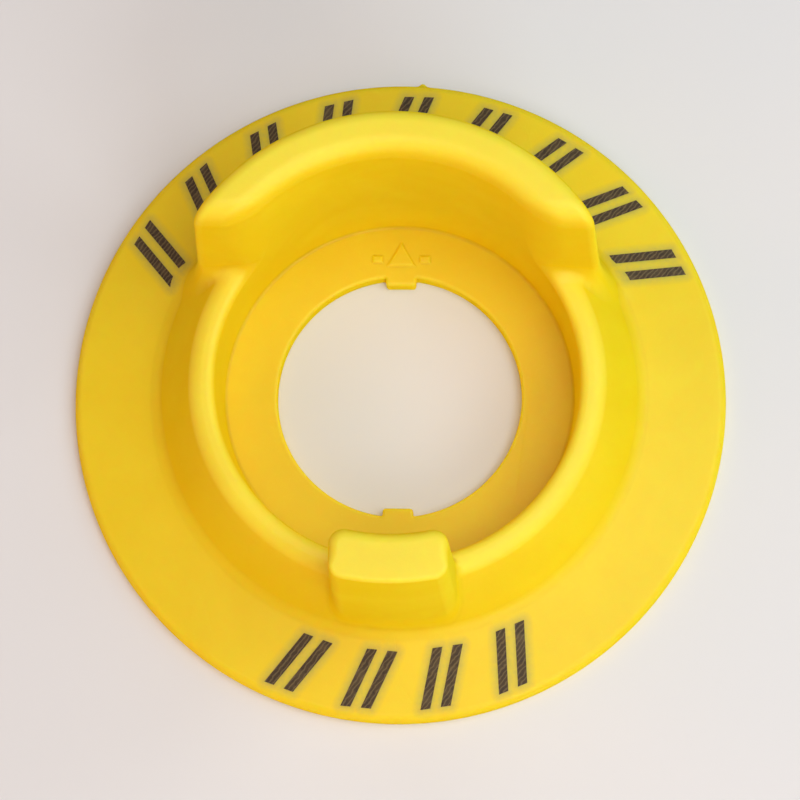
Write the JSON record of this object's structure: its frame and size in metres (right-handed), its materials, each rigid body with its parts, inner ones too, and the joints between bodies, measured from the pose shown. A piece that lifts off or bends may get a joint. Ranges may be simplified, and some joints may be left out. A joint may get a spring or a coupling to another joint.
{
  "type": "emergency stop button guard",
  "caption": "Round yellow legend flange with a collar, a high hood and a post that shield an emergency stop push button from accidental presses.",
  "frame": {"origin": "centre of the hole in the back face, the plane that rests on the panel", "axes": "+Z along the hole axis out of the panel towards the operator, +Y towards the hood (top), +X to the right seen from the front"},
  "size_m": [0.06, 0.0604, 0.0253],
  "materials": {
    "yellow_plastic": "satin, moulded in colour, slightly translucent",
    "dark_mark": "matt, laser-darkened surface"
  },
  "bodies": {
    "root": {"guard_body": "yellow_plastic", "upper_legend_marks": "dark_mark", "lower_legend_marks": "dark_mark"}
  },
  "joints": []
}
